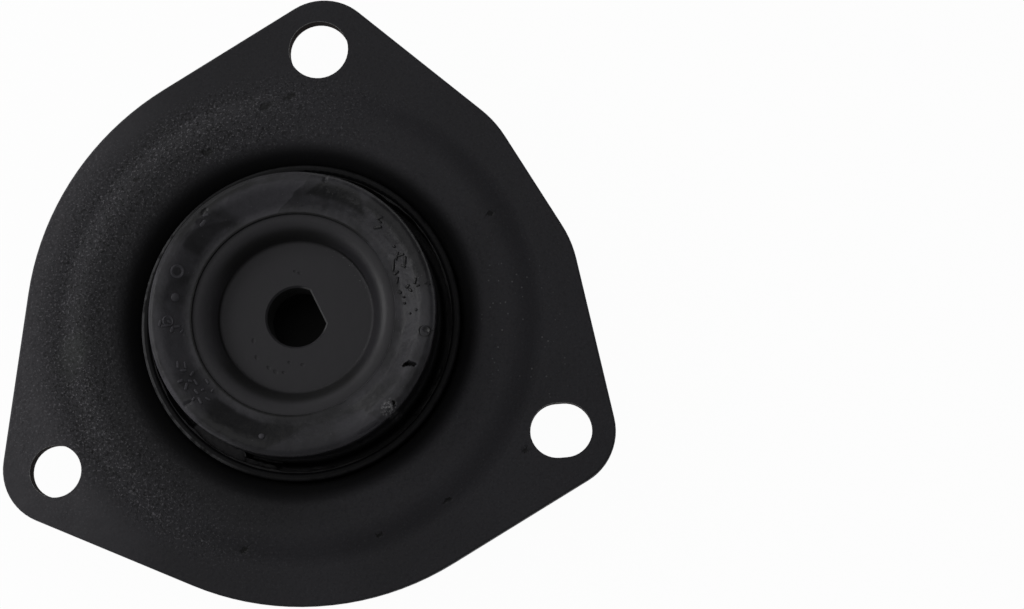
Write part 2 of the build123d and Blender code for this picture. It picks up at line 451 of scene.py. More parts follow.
def sleeve_finish(colours):
    """Dull coated sleeve whose upper edge is worn and carries a painted highlight on its outer side,
    strongest at the left.
    """
    f = Finish("coated_sleeve", Specular_IOR_Level=0.12)
    # Wear with a painted highlight on the outer upper edge, strongest at the left
    worn_and_lit = f.ring(33.35, 34.3, 0.12) * f.ramp(f.z, 2.1, 2.7)
    worn_and_lit = worn_and_lit * f.ramp(f.grain(0.35, 3.0, 0.6), 0.30, 0.55) * (0.1 + 0.9 * f.toward(192, 34, 30))
    mottle = f.grain(0.5, 4.0, 0.6)
    shade = f.mix(mottle, scaled(colours.sleeve, 0.7), scaled(colours.sleeve, 1.5))
    shade = f.mix(worn_and_lit * 0.8, shade, colours.worn_and_lit_edge)
    gloss = 0.5 + 0.2 * (mottle - 0.5)
    return f.close(Base_Color=shade, Roughness=gloss, Normal=f.bump(f.grain(1.4, 3.0, 0.6), 0.05))


# Dents of a stamping tool in the core's floor, as (radius, angle, size) in millimetres and degrees
STAMP_DOTS = (
    (11.9, 226, 0.45),
    (12.1, 242, 0.4),
    (12.3, 250, 0.5),
    (12.0, 258, 0.35),
    (9.7, 262, 0.35),
    (10.3, 209, 0.45),
    (10.2, 278, 0.4),
    (9.4, 88, 0.35),
    (9.8, 94, 0.3),
)

# Radii in millimetres that the core's finish follows
ROD_BORE = (6.7, 6.9)        # just outside the rod hole
ROD_EDGE = (7.4, 7.6)        # how far its worn edge can reach
CRUMB_RING = (14.9, 16.7)    # where pale crumbs lie
WALL_FOOT = (15.9, 18.3)     # about the foot of the dish's wall
WALL_LINE = (16.15, 16.5)    # painted shadow line on the floor, near the foot
DISH_WALL = (16.6, 20.2)     # where the wall lies


def core_finish(colours):
    """Matte coated steel of the core, with tool dents, pale crumbs and fine grain, painted shade in the
    dish and the bore, and a painted highlight along the rod hole's flat.
    """
    f = Finish("coated_core", Specular_IOR_Level=0.36)
    floor = FRONT_HIGH.z / MM - CORE_DISH
    on_top = f.ramp(f.z, floor - 0.1, floor + 0.1)

    grain = f.grain(1.9, 3.0, 0.65)
    dents = total([
        f.spot(*polar(distance, angle), size, 0.7, 1.5, angle + 70)
        for distance, angle, size in STAMP_DOTS
    ])
    crumbs = 1 - f.ramp(f.cells(1.9), 0.09, 0.2)
    chosen = f.ramp(f.cells(1.9, out="Color"), 0.42, 0.5)
    crumbs = crumbs * chosen * f.ring(*CRUMB_RING, 0.35) * f.toward(40, 22, 8)

    # The dish's wall: painted shade at its foot at the top and bottom, a painted shadow line at the left,
    # glossier at the right
    foot = f.ring(*WALL_FOOT, 0.8) * on_top * f.toward(108, 26, 34).above(f.toward(268, 42, 26))
    crease_shadow = f.ring(*WALL_LINE, 0.12) * on_top * f.toward(165, 130, 30)
    wall = f.ring(*DISH_WALL, 0.6) * f.ramp(f.z, floor, floor + 0.4) * f.toward(8, 38, 24)

    # The rod hole: a painted highlight along the edge of its flat, and painted shade in the bore under it
    rim = f.ramp(f.z, floor - 0.55, floor - 0.35) * (1 - f.ramp(f.z, floor - 0.08, floor - 0.02))
    rim = rim * f.toward(27, 48, 12) * (1 - f.ramp(f.radius, *ROD_EDGE))
    bore_shade = (1 - f.ramp(f.z, floor - 0.6, floor - 0.35)) * (1 - f.ramp(f.radius, *ROD_BORE))

    shade = f.mix(f.grain(0.06, 2.0), scaled(colours.core, 0.88), scaled(colours.core, 1.14))
    shade = f.mix(f.ramp(grain, 0.3, 0.75) * 0.45, shade, scaled(colours.core, 1.35))
    shade = f.mix(dents * 0.6, shade, scaled(colours.core, 0.4))
    shade = f.mix(crumbs, shade, colours.dust)
    shade = f.mix(foot.above(crease_shadow) * 0.85, shade, colours.grime_and_shade)
    shade = f.mix(bore_shade, shade, colours.grime_and_shade)
    shade = f.mix(rim, shade, colours.worn_and_lit_edge)
    gloss = 0.6 + 0.15 * (grain - 0.5) + 0.3 * bore_shade - 0.2 * wall + 0.2 * foot
    normal = f.bump(grain * 0.5 + f.grain(0.45, 2.0) - dents * 2.0, 0.05)
    return f.close(Base_Color=shade, Roughness=gloss, Normal=normal)


# Chips out of the ring, as (radius, angle, length, width, depth, turn) in millimetres and degrees
CHIPS = (
    (26.9, 336.0, 1.25, 0.42, 1.1, 350),
    (26.0, 334.6, 0.7, 0.35, 0.7, 20),
    (28.6, 318.4, 0.8, 0.35, 0.7, 280),
    (29.0, 304.0, 2.4, 0.4, 0.35, 32),
    (28.5, 352.0, 1.2, 0.4, 0.4, 350),
    (28.2, 131.0, 1.1, 0.45, 0.3, 40),
    (26.9, 135.5, 1.0, 0.7, 0.25, 20),
    (28.7, 77.0, 1.3, 0.35, 0.4, 80),
    (27.9, 222.5, 1.1, 0.35, 0.35, 215),
)
DEEP_CHIP = 0.6    # chips at least this deep get painted shade inside
CHIP_REACH = 1.6   # how far a chip can reach, in half lengths and half widths

# Torn pale shreds at the ring's edge, as (x, y, size) in millimetres
SHREDS = (20.4, -19.9, 1.8)

# Lighter sectors: dried film and painted reflections, with painted highlights along the rim
# Sectors of the ring, as (direction, begin at the seam, begin at the rim, end at the seam, end at the
# rim, softness of both ends, inner and outer radius, strength) in degrees and millimetres
FILM_AND_HIGHLIGHT_LOBES = (
    (106, -6, -26, 13, 24, 0.8, 5.0, 20.0, 27.8, 0.72),
    (290, -5, -30, 4, 22, 0.8, 0.8, 23.6, 31.0, 0.30),
    (302, -12, -14, 2, 8, 9.0, 0.8, 24.6, 31.0, 0.55),
    (196, -20, -20, 15, 15, 6.0, 6.0, 22.5, 28.5, 0.55),
    (220, -12, -12, 10, 10, 4.0, 4.0, 28.6, 29.6, 0.95),
    (356, -14, -8, 14, 8, 3.0, 3.0, 23.4, 26.4, 0.50),
    (34, -34, -34, 22, 22, 4.0, 4.0, 22.4, 24.9, 0.42),
    (195, -38, -38, 44, 44, 6.0, 6.0, 29.4, 31.0, 1.6),
)
# Darker sectors: bare rubber and painted dark reflections
BARE_AND_DARK_PATCHES = (
    (68, -20, -6, 27, 6, 1.5, 1.5, 24.9, 28.0, 1.0),
    (138, -23, 11, 10, 10, 1.5, 2.0, 23.4, 27.0, 0.65),
    (132, -26, -26, 16, 16, 5.0, 4.0, 27.6, 30.5, 0.9),
    (278, -24, -24, 20, 20, 10.0, 10.0, 20.0, 32.0, 0.6),
    (245, -16, -14, 38, 14, 3.0, 0.8, 23.2, 28.8, 1.0),
    (306, -14, 6, 14, 14, 1.0, 2.0, 22.9, 26.0, 0.75),
    (330, -9, -4, 9, 6, 1.5, 1.5, 27.6, 29.6, 0.6),
    (38, -24, -24, 22, 18, 3.0, 2.0, 26.3, 29.9, 0.8),
)
SEAM = 21.5            # radius of a sector's first angles, in millimetres
RING_WIDTH = 7.5       # from there out to its second angles
BORDER_SWAY = 4.5      # how far a sector's ends wander, in degrees
BORDER_DRIFT = 0.9     # how far its round borders wander, in millimetres
BORDER_SOFTNESS = 0.5  # half the width of its round borders, in millimetres

# Radii and heights in millimetres that the rubber's finish follows
FILM_RING = (20.9, 29.7)    # radii that the film and painted reflections cover
SEAM_EDGE = (21.4, 21.7)    # radii over which the painted shadow of the seam ends
RIM_EDGE = (28.4, 29.2)     # radii where the ring bends down to its rim
GROOVE = (4.0, 10.0)        # heights from the dull groove up to the glossy disc
FILM_FOOT = (11.4, 11.8)    # heights where the film and painted reflections begin
RIM_TOP = (13.2, 13.8)      # heights where the dull rim begins

MARKS_PAINTED_LIGHT = 0.85    # least film on the marks, as painted light; at the right they keep almost none, as painted shade


def sector(f, places, wobble):
    """Mask of a sector of the ring with slanting ends and uneven borders."""
    direction, low_in, low_out, high_in, high_out, low_soft, high_soft, inner, outer, strength = places
    outward = (f.radius - SEAM) / RING_WIDTH
    angle = f.turn_from(direction) + wobble * BORDER_SWAY
    low = low_in + outward * (low_out - low_in)
    high = high_in + outward * (high_out - high_in)
    ends = f.ramp(angle - low, -low_soft, low_soft) * (1 - f.ramp(angle - high, -high_soft, high_soft))
    radius = f.radius + wobble * BORDER_DRIFT
    begun = f.ramp(radius, inner - BORDER_SOFTNESS, inner + BORDER_SOFTNESS)
    ended = f.ramp(radius, outer - BORDER_SOFTNESS, outer + BORDER_SOFTNESS)
    return ends * begun * (1 - ended) * strength


def film_and_reflections_on_ring(f):
    """Dried film and painted reflections on the ring: thin nearly all over, thick in lobes, less on bare,
    darker patches.
    """
    wobble = f.grain(0.34, 1.2, 0.5) - 0.5
    film_and_reflection = 0.36 + 1.1 * (f.grain(0.22, 3.0, 0.62) - 0.5)
    for places in BARE_AND_DARK_PATCHES:
        film_and_reflection = film_and_reflection * (1 - sector(f, places, wobble))
    for places in FILM_AND_HIGHLIGHT_LOBES:
        film_and_reflection = film_and_reflection.above(sector(f, places, wobble))
    return film_and_reflection * (0.8 + 0.4 * f.grain(0.5, 3.0, 0.6))


def rubber_finish(colours, name="black_rubber", rubbed=0.0):
    """Glossy moulded rubber under a dried film with painted reflections, at least as much as given; then
    the right side keeps almost none, as painted shade.
    """
    f = Finish(name, Specular_IOR_Level=0.3)
    film_and_reflection = film_and_reflections_on_ring(f).above(rubbed)
    # Painted light on the marks, and painted shade: at the right they keep almost none of their film
    if rubbed:
        film_and_reflection = film_and_reflection * (1 - 0.95 * f.toward(14, 50, 14))
    film_and_reflection = film_and_reflection * f.ring(*FILM_RING, 0.15) * f.ramp(f.z, *FILM_FOOT)

    mottle = f.grain(0.9, 4.0, 0.6)
    specks = (1 - f.ramp(f.cells(0.8), 0.04, 0.1)) * f.ramp(f.cells(0.8, out="Color"), 0.52, 0.56)
    # Painted shade: near black inside the deep chips
    torn = largest([
        f.spot(*polar(distance, angle), width, 0.3, size / width, lie)
        for distance, angle, size, width, depth, lie in CHIPS
        if depth >= DEEP_CHIP
    ])
    shreds = f.spot(*SHREDS, 0.5, 1.3, 60) * f.ramp(f.grain(1.7, 3.0, 0.7), 0.5, 0.6)
    # Painted shadow of the seam's step, strongest at the left
    seam = (1 - f.ramp(f.radius, *SEAM_EDGE)) * f.toward(165, 104, 26)

    # Duller rubber: deep in the groove, along parts of the rim, and where it is scuffed
    inside = 1 - f.ramp(f.z, *GROOVE)
    dull_edge = f.ramp(f.radius, *RIM_EDGE) * f.ramp(f.z, *RIM_TOP)
    dull_edge = dull_edge * f.toward(124, 30, 16).above(f.toward(298, 42, 14))
    scuffed = f.toward(282, 16, 10) * f.ring(22.0, 29.0, 0.5)

    shade = f.mix(mottle, scaled(colours.rubber, 0.8), scaled(colours.rubber, 1.35))
    shade = f.mix(film_and_reflection * (0.75 + 0.25 * mottle), shade, colours.film_and_reflection)
    shade = f.mix(specks * 0.35, shade, colours.dust)
    shade = f.mix(torn, shade, colours.tear_and_seam_shade)
    shade = f.mix(seam * 0.9, shade, colours.tear_and_seam_shade)
    shade = f.mix(shreds, shade, colours.dust)
    gloss = 0.30 + 0.10 * mottle + 0.20 * film_and_reflection + 0.25 * inside + 0.34 * dull_edge
    gloss = gloss + 0.2 * seam + 0.16 * scuffed + 0.45 * torn
    normal = f.bump(f.grain(0.28, 3.0, 0.6) + 0.02 * f.grain(2.4, 3.0), 0.30)
    return f.close(Base_Color=shade, Roughness=gloss, Normal=normal)


def flash_finish(colours):
    """Torn, dull rubber of the flash and the skin in the groove, paler at the lower left."""
    f = Finish("rubber_flash", Specular_IOR_Level=0.2)
    torn = f.grain(1.3, 4.0, 0.65)
    shade = f.mix(torn, scaled(colours.flash, 0.5), scaled(colours.flash, 1.7))
    shade = f.mix(f.toward(224, 18, 12) * 0.8, shade, scaled(colours.flash, 2.6))
    normal = f.bump(torn + 0.2 * f.grain(3.5, 2.0), 0.06)
    return f.close(Base_Color=shade, Roughness=0.42 + 0.2 * torn, Normal=normal)


def dress(node, material):
    """Give a solid piece its finish."""
    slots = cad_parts[node].data.materials
    slots.clear()
    slots.append(material)


def finished_object(name, bm, material, sharp=38):
    """Object at the origin, outward faces, shaded softly but for edges over an angle in degrees."""
    bmesh.ops.remove_doubles(bm, verts=bm.verts, dist=0.001 * MM)
    bmesh.ops.recalc_face_normals(bm, faces=bm.faces)
    for face in bm.faces:
        face.smooth = True
    mesh = bpy.data.meshes.new(name)
    bm.to_mesh(mesh)
    bm.free()
    mesh.set_sharp_from_angle(angle=radians(sharp))
    mesh.materials.append(material)
    made = bpy.data.objects.new(name, mesh)
    bpy.context.scene.collection.objects.link(made)
    return made


def section_face(bm, corners):
    """Flat face in the XZ plane through (radius, height, rounding) corners, with round corners."""
    verts = [bm.verts.new((radius, 0, height)) for radius, height, _ in corners]
    bm.faces.new(verts)
    for index, (vert, (_, _, rounding)) in enumerate(zip(verts, corners)):
        if rounding:
            before = Vector(corners[index - 1][:2]) - Vector(corners[index][:2])
            after = Vector(corners[(index + 1) % len(corners)][:2]) - Vector(corners[index][:2])
            bend = radians(180) - before.angle(after)
            bmesh.ops.bevel(
                bm, geom=[vert], offset=rounding * tan(bend / 2), offset_type="OFFSET",
                segments=max(3, round(degrees(bend) / 8)), profile=0.5, affect="VERTICES", material=-1,
            )


def divide_edges(bm, edges, longest):
    """Cut each edge into pieces no longer than a given length."""
    for edge in list(edges):
        cuts = int(edge.calc_length() / longest)
        if cuts:
            bmesh.ops.subdivide_edges(bm, edges=[edge], cuts=cuts)


def turned(bm, steps):
    """Sweep the section in the XZ plane round Z into a closed body."""
    bmesh.ops.delete(bm, geom=list(bm.faces), context="FACES_ONLY")
    bmesh.ops.spin(
        bm, geom=bm.verts[:] + bm.edges[:], cent=(0, 0, 0), axis=(0, 0, 1), angle=FULL_TURN,
        steps=steps, use_merge=True, use_duplicate=False,
    )


def rubber_corners(s):
    """Corners of the rubber body's section, as (radius, height, rounding)."""
    core_top = FRONT_HIGH.z
    joint = FRONT_LOW.z
    flange = FRONT_HIGH.x
    wall = RUBBER_HIGH.x
    cup_floor = SLEEVE_LOW.z
    front_foot = core_top - s.core_thickness
    back_foot = BACK_LOW.z + s.core_thickness
    ring_top = RUBBER_HIGH.z - s.top_drop
    land_end = s.seam_radius + s.land_width
    return [
        (s.seam_radius, core_top, 0),
        (s.seam_radius, core_top + s.seam_step, s.seam_edge),
        (land_end, core_top + s.seam_step, s.land_fillet),
        (land_end + s.slope_run, ring_top, s.crown_radius),
        (s.disc_radius, ring_top, s.edge_radius),
        (s.disc_radius + s.disc_draft, s.groove_floor, s.groove_fillet),
        (wall, s.groove_floor, 0),
        (wall, cup_floor + s.rim_thickness, s.rim_bend),
        (s.rim_radius, cup_floor + s.rim_thickness, 0),
        (s.rim_radius, cup_floor, 0),
        (s.lip_radius, cup_floor, 0),
        (s.lip_radius, RUBBER_LOW.z, s.lip_rounding),
        (s.throat_radius, RUBBER_LOW.z, s.lip_rounding),
        (s.throat_radius, BACK_LOW.z, 0),
        (flange, BACK_LOW.z, 0),
        (flange, back_foot, 0),
        (s.core_neck, back_foot, 0),
        (s.core_waist, joint, 0),
        (s.core_neck, front_foot, 0),
        (flange, front_foot, 0),
        (flange, core_top, 0),
    ]


def chip_depth(place, chip):
    """How deep a chip cuts at a place on the ring."""
    distance, angle, size, width, depth, lie = chip
    middle = polar(distance, angle)
    east = place.x / MM - middle[0]
    north = place.y / MM - middle[1]
    run, rise = polar(1, lie)
    away = hypot((east * run + north * rise) / size, (north * run - east * rise) / width)
    if away > CHIP_REACH:
        return 0.0
    away += 0.45 * noise.noise(place * (1.6 / MM))
    return depth * MM * min(1.0, max(0.0, (1.05 - away) / 0.3))


def weather_ring(bm, s):
    """Soft waves and chips in the moulded skin of the ring, always towards the inside."""
    start = FRONT_HIGH.z + s.seam_step
    for vert in bm.verts:
        place = vert.co
        if place.z < start or place.xy.length < s.seam_radius:
            continue
        wave = 0.5 + 0.5 * noise.noise(place / s.wave) + 0.12 * noise.noise(place * 3 / s.wave)
        sink = s.unevenness * max(0.0, wave)
        sink += sum(chip_depth(place, chip) for chip in CHIPS)
        vert.co.z -= sink


def make_rubber_body(s, material):
    """Moulded rubber body in one piece: ring, groove, lip and the seat of the core."""
    bm = bmesh.new()
    section_face(bm, rubber_corners(s))
    top = FRONT_HIGH.z
    divide_edges(bm, [e for e in bm.edges if min(v.co.z for v in e.verts) > top], 0.3 * MM)
    divide_edges(bm, [e for e in bm.edges if e.calc_length() > 2.5 * MM], 2.0 * MM)
    turned(bm, s.steps)
    bmesh.ops.recalc_face_normals(bm, faces=bm.faces)
    weather_ring(bm, s)
    tree = BVHTree.FromBMesh(bm)
    return finished_object("rubber_body", bm, material, 50), tree


# Raised moulding marks, as (radius, angle, length, width, turn) in millimetres and degrees
MARKS = (
    (26.5, 47.3, 1.5, 0.47, 20),
    (26.0, 46.2, 0.9, 0.41, -40),
    (24.9, 45.4, 2.0, 0.61, 8),
    (24.5, 28.5, 1.9, 0.47, 70),
    (25.3, 27.8, 1.7, 0.47, 15),
    (25.6, 24.5, 1.9, 0.54, 80),
    (24.8, 22.6, 1.2, 0.47, -20),
    (23.0, 25.6, 2.6, 0.47, 82),
    (22.9, 21.4, 1.3, 0.54, 35),
    (22.6, 17.6, 1.4, 0.47, 80),
    (25.0, 33.1, 0.63, 0.52, 0),
    (29.0, 25.2, 0.63, 0.52, 60),
    (24.4, 12.6, 1.1, 0.54, 40),
    (24.8, 10.4, 1.0, 0.54, -35),
    (26.2, 13.7, 1.4, 0.54, 75),
    (26.5, 11.4, 0.9, 0.47, 10),
    (28.2, 11.6, 0.63, 0.52, 0),
    (29.0, 11.0, 0.54, 0.45, 0),
    (22.4, 11.1, 1.1, 0.68, -30),
    (23.2, 8.0, 0.63, 0.52, 0),
    (23.2, 4.8, 0.63, 0.52, 0),
    (25.7, 0.6, 0.68, 0.56, 45),
    (24.4, 359.2, 0.54, 0.45, 0),
    (26.6, 135.2, 1.8, 0.68, 50),
    (27.3, 132.0, 1.3, 0.54, 15),
    (27.1, 185.0, 1.4, 0.54, 80),
    (26.2, 186.2, 1.6, 0.54, 12),
    (25.4, 184.4, 1.0, 0.54, -30),
    (25.0, 188.0, 1.5, 0.61, 75),
    (24.0, 186.6, 1.5, 0.54, 20),
    (23.3, 189.2, 1.0, 0.47, 60),
    (25.6, 205.2, 1.6, 0.54, 95),
    (25.1, 208.6, 1.3, 0.54, 15),
    (24.4, 206.4, 1.5, 0.47, 100),
    (26.6, 212.6, 1.2, 0.54, 30),
    (26.2, 216.0, 1.6, 0.54, 80),
    (25.0, 214.6, 0.9, 0.47, -10),
    (24.0, 211.6, 1.3, 0.47, 60),
    (24.3, 216.4, 1.4, 0.47, 125),
    (25.3, 220.6, 1.3, 0.47, 130),
    (24.1, 221.4, 0.8, 0.47, 40),
    (25.9, 225.0, 1.6, 0.54, 118),
    (26.6, 222.6, 0.9, 0.47, 60),
    (24.6, 226.6, 1.2, 0.41, 150),
    (22.4, 219.0, 1.2, 0.47, 120),
    (22.8, 224.6, 0.9, 0.47, 60),
)

# Low round bosses left by the mould, as (distance, angle, radius) in millimetres and degrees
BOSSES = (
    (24.6, 172.4, 0.9),
    (26.2, 258.0, 0.6),
    (27.8, 351.3, 1.35),
    (25.5, 160.2, 1.45),
    (25.6, 184.0, 1.2),
)
DISHED_BOSS = 1.0    # bosses of a larger radius in millimetres are dished


def seated(tree, distance, angle):
    """Place and upward direction on the rubber under a radius in millimetres and an angle."""
    start = Vector((*polar(distance, angle), 100)) * MM
    place, normal, _, _ = tree.ray_cast(start, Vector((0, 0, -1)))
    if place is None:
        raise RuntimeError(f"no rubber under {distance} mm at {angle} degrees")
    return place, normal if normal.z > 0 else -normal


def standing(place, normal, angle):
    """Transform standing on a place, along its normal, turned by an angle in degrees."""
    lean = Vector((0, 0, 1)).rotation_difference(normal).to_matrix().to_4x4()
    return Matrix.Translation(place) @ lean @ Matrix.Rotation(radians(angle), 4, "Z")


def add_bar(bm, place, size, width, height, sink):
    """Raised bar with rounded upper edges, standing on a place."""
    made = bmesh.ops.create_cube(bm, size=1)["verts"]
    bmesh.ops.scale(bm, vec=(size, width, height + sink), verts=made)
    bmesh.ops.translate(bm, vec=(0, 0, (height - sink) / 2), verts=made)
    upright = [
        e for e in bm.edges
        if e.verts[0] in made and abs(e.verts[0].co.z - e.verts[1].co.z) > height
    ]
    ends = bmesh.ops.bevel(
        bm, geom=upright, offset=0.45 * width, offset_type="OFFSET", segments=2, profile=0.5,
        affect="EDGES", material=-1,
    )
    verts = {v for v in made if v.is_valid} | set(ends["verts"])
    top = [e for e in bm.edges if all(v in verts and v.co.z > height / 2 for v in e.verts)]
    rounded = bmesh.ops.bevel(
        bm, geom=top, offset=0.45 * height, offset_type="OFFSET", segments=2, profile=0.5,
        affect="EDGES", material=-1,
    )
    verts = {v for v in verts if v.is_valid} | set(rounded["verts"])
    bmesh.ops.transform(bm, matrix=place, verts=list(verts))


def add_boss(bm, place, size, height, sink):
    """Low round boss standing on a place, dished if it is wide."""
    foot = bmesh.ops.create_circle(bm, cap_ends=True, segments=24, radius=size)["verts"]
    bmesh.ops.translate(bm, vec=(0, 0, -sink), verts=foot)
    face = foot[0].link_faces[0]
    raised = bmesh.ops.extrude_face_region(bm, geom=[face])["geom"]
    top = [g for g in raised if isinstance(g, bmesh.types.BMVert)]
    bmesh.ops.translate(bm, vec=(0, 0, sink + height * 0.55), verts=top)
    cap = [g for g in raised if isinstance(g, bmesh.types.BMFace)]
    bmesh.ops.inset_region(bm, faces=cap, thickness=0.14 * size, depth=height * 0.4)
    if size > DISHED_BOSS * MM:
        bmesh.ops.inset_region(bm, faces=cap, thickness=0.30 * size, depth=-height * 1.1)
    verts = set(foot) | set(top) | {v for f in cap for v in f.verts}
    verts |= {v for e in {e for v in verts for e in v.link_edges} for v in e.verts}
    bmesh.ops.transform(bm, matrix=place, verts=list(verts))


def make_marks(tree, d, material):
    """Raised marks left by the mould: plain bars, dots and low bosses."""
    bm = bmesh.new()
    for distance, angle, size, width, lie in MARKS:
        place = standing(*seated(tree, distance, angle), lie)
        add_bar(bm, place, size * MM, width * MM, d.mark_height, d.mark_sink)
    for distance, angle, size in BOSSES:
        place = standing(*seated(tree, distance, angle), 0)
        add_boss(bm, place, size * MM, d.mark_height, d.mark_sink)
    return finished_object("mould_marks", bm, material, 60)


def ragged(angle, seed, wave):
    """Noise between about -1 and 1 along an angle in degrees, the same at 0 and 360."""
    place = Vector((*polar(30 / wave, angle), seed * 7.3))
    return noise.noise(place) + 0.5 * noise.noise(place * 2.7)


# Skin in the groove, in millimetres: rounding and sway of its edge, longest piece of section
SKIN_ROUNDING = 0.15
SKIN_SWAY = 0.28
SKIN_PIECE = 0.8


def make_groove_skin(s, d, material):
    """Thin skin of rubber up the sleeve's inner wall, with an uneven upper edge."""
    bm = bmesh.new()
    wall = RUBBER_HIGH.x
    inner = wall - d.skin_thickness
    top = SLEEVE_HIGH.z - d.skin_drop
    section_face(bm, [
        (wall, s.groove_floor, 0),
        (wall, top, 0),
        (inner, top, SKIN_ROUNDING * MM),
        (inner, s.groove_floor, 0),
    ])
    divide_edges(bm, bm.edges, SKIN_PIECE * MM)
    turned(bm, s.steps // 2)
    for vert in bm.verts:
        angle = degrees(atan2(vert.co.y, vert.co.x))
        rise = (vert.co.z - s.groove_floor) / (top - s.groove_floor)
        if vert.co.xy.length < wall - 0.5 * d.skin_thickness:
            vert.co.xy *= 1 - 0.012 * max(-0.3, ragged(angle, 1, 5.0)) * rise
        vert.co.z += SKIN_SWAY * MM * ragged(angle, 2, 4.0) * rise
    return finished_object("groove_skin", bm, material, 60)


# Flash in the groove, as (first angle, last angle, inner and outer share of the gap, height in mm)
FLASH = (
    (225.5, 249.0, 0.00, 1.00, 0.20),
    (247.0, 262.0, 0.45, 1.00, 0.00),
    (252.0, 264.0, 0.10, 0.26, 0.45),
    (262.0, 284.0, 0.55, 1.00, -0.7),
    (98.0, 117.0, 0.45, 1.00, -0.4),
    (320.0, 342.0, 0.60, 1.00, -0.7),
)
FLASH_ROWS = 7       # points across a web
FLASH_STEPS = 2.5    # steps along a web for each degree
TORN_END = 0.06      # share of a web's length over which its ends are torn back
IN_PLANE = 1e-9      # a point under this height still lies where it was spun


def make_flash(s, d, material):
    """Ragged webs of flash between the disc and the sleeve."""
    bm = bmesh.new()
    near = s.disc_radius + 0.1 * MM
    gap = RUBBER_HIGH.x - near
    for number, (first, last, inside, outside, lift) in enumerate(FLASH):
        base = near + inside * gap
        width = (outside - inside) * gap
        start = [
            bm.verts.new((base + width * row / (FLASH_ROWS - 1), 0, 0)) for row in range(FLASH_ROWS)
        ]
        edges = [bm.edges.new(pair) for pair in zip(start, start[1:])]
        bmesh.ops.spin(
            bm, geom=start + edges, cent=(0, 0, 0), axis=(0, 0, 1), angle=radians(last - first),
            steps=max(8, round((last - first) * FLASH_STEPS)), use_duplicate=False,
        )
        sheet = {v for v in bm.verts if v.link_faces and abs(v.co.z) < IN_PLANE}
        begin = Matrix.Rotation(radians(first), 3, "Z")
        bmesh.ops.rotate(bm, cent=(0, 0, 0), matrix=begin, verts=list(sheet))
        for vert in sheet:
            angle = degrees(atan2(vert.co.y, vert.co.x)) % 360
            across = (vert.co.xy.length - base) / width
            ends = min(angle - first, last - angle) / (last - first)
            pull = 0.16 * ragged(angle, number + 3, 1.1) + 0.3 * max(0.0, TORN_END - ends) / TORN_END
            free = 1 - across if outside == 1 else 1 - abs(2 * across - 1)
            vert.co.xy *= 1 + pull * free * width / vert.co.xy.length
            height = d.flash_height + lift * MM + 0.12 * MM * ragged(angle + 40 * across, number + 9, 2.2)
            vert.co.z = height - 0.25 * MM * free
        faces = [f for f in bm.faces if all(v in sheet for v in f.verts)]
        thick = bmesh.ops.extrude_face_region(bm, geom=faces)["geom"]
        lower = [g for g in thick if isinstance(g, bmesh.types.BMVert)]
        bmesh.ops.translate(bm, vec=(0, 0, -d.flash_thickness), verts=lower)
    return finished_object("groove_flash", bm, material, 45)


class STRUT_OT_coat_plate(bpy.types.Operator):
    """Coat the pressed plate."""

    bl_idname = "strut.coat_plate"
    bl_label = "Coat the plate"

    def execute(self, context):
        dress("mount_plate", plate_finish(context.scene.strut_colours))
        return {"FINISHED"}


class STRUT_OT_coat_sleeve(bpy.types.Operator):
    """Coat the outer sleeve."""

    bl_idname = "strut.coat_sleeve"
    bl_label = "Coat the sleeve"

    def execute(self, context):
        dress("outer_sleeve", sleeve_finish(context.scene.strut_colours))
        return {"FINISHED"}


class STRUT_OT_coat_core(bpy.types.Operator):
    """Coat both shells of the core."""

    bl_idname = "strut.coat_core"
    bl_label = "Coat the core"

    def execute(self, context):
        finish = core_finish(context.scene.strut_colours)
        dress("core_front_shell", finish)
        dress("core_back_shell", finish)
        return {"FINISHED"}


class STRUT_OT_mould_rubber(bpy.types.Operator):
    """Mould the rubber body with its raised marks."""

    bl_idname = "strut.mould_rubber"
    bl_label = "Mould the rubber"

    def execute(self, context):
        scene = context.scene
        finish = rubber_finish(scene.strut_colours)
        rubber, surface = make_rubber_body(scene.strut_rubber, finish)
        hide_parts("rubber_insulator")
        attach(rubber, BODY)
        # Marks with painted light on their left and painted shade on their right
        rubbed = rubber_finish(scene.strut_colours, "marks_painted_light_rubber", MARKS_PAINTED_LIGHT)
        marks = make_marks(surface, scene.strut_details, rubbed)
        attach(marks, BODY)
        return {"FINISHED"}


class STRUT_OT_leave_flash(bpy.types.Operator):
    """Leave the skin and the flash in the groove."""

    bl_idname = "strut.leave_flash"
    bl_label = "Leave flash in the groove"

    def execute(self, context):
        scene = context.scene
        finish = flash_finish(scene.strut_colours)
        skin = make_groove_skin(scene.strut_rubber, scene.strut_details, finish)
        flash = make_flash(scene.strut_rubber, scene.strut_details, finish)
        for piece in (skin, flash):
            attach(piece, BODY)
        return {"FINISHED"}


def floor_finish(colours, stage):
    """Pale floor that shows as white and keeps the shadow of what stands on it."""
    material = bpy.data.materials.new("studio_floor")
    material.use_nodes = True
    n = Nodes(material.node_tree)
    place = n.node("ShaderNodeTexCoord", out="Object")
    away = n.node("ShaderNodeVectorMath", {"operation": "LENGTH"}, {0: place}, "Value")
    lit = n.ramp(away, 0.8 * stage.shade_radius, stage.shade_radius)
    seen = n.node("ShaderNodeLightPath", out="Is Camera Ray")
    seen = seen.above(n.node("ShaderNodeLightPath", out="Is Glossy Ray"))
    seen = seen.above(n.node("ShaderNodeLightPath", out="Is Transmission Ray"))
    shade = n.mix(lit, colours.floor_under, colours.floor)
    matte = n.node("ShaderNodeBsdfDiffuse", inputs={"Color": shade})
    white = n.node("ShaderNodeEmission", inputs={"Color": WHITE, "Strength": 1.0})
    glow = seen * lit * stage.floor_glow
    surface = n.node("ShaderNodeMixShader", inputs={0: glow, 1: matte, 2: white})
    n.node("ShaderNodeOutputMaterial", inputs={"Surface": surface})
    return material


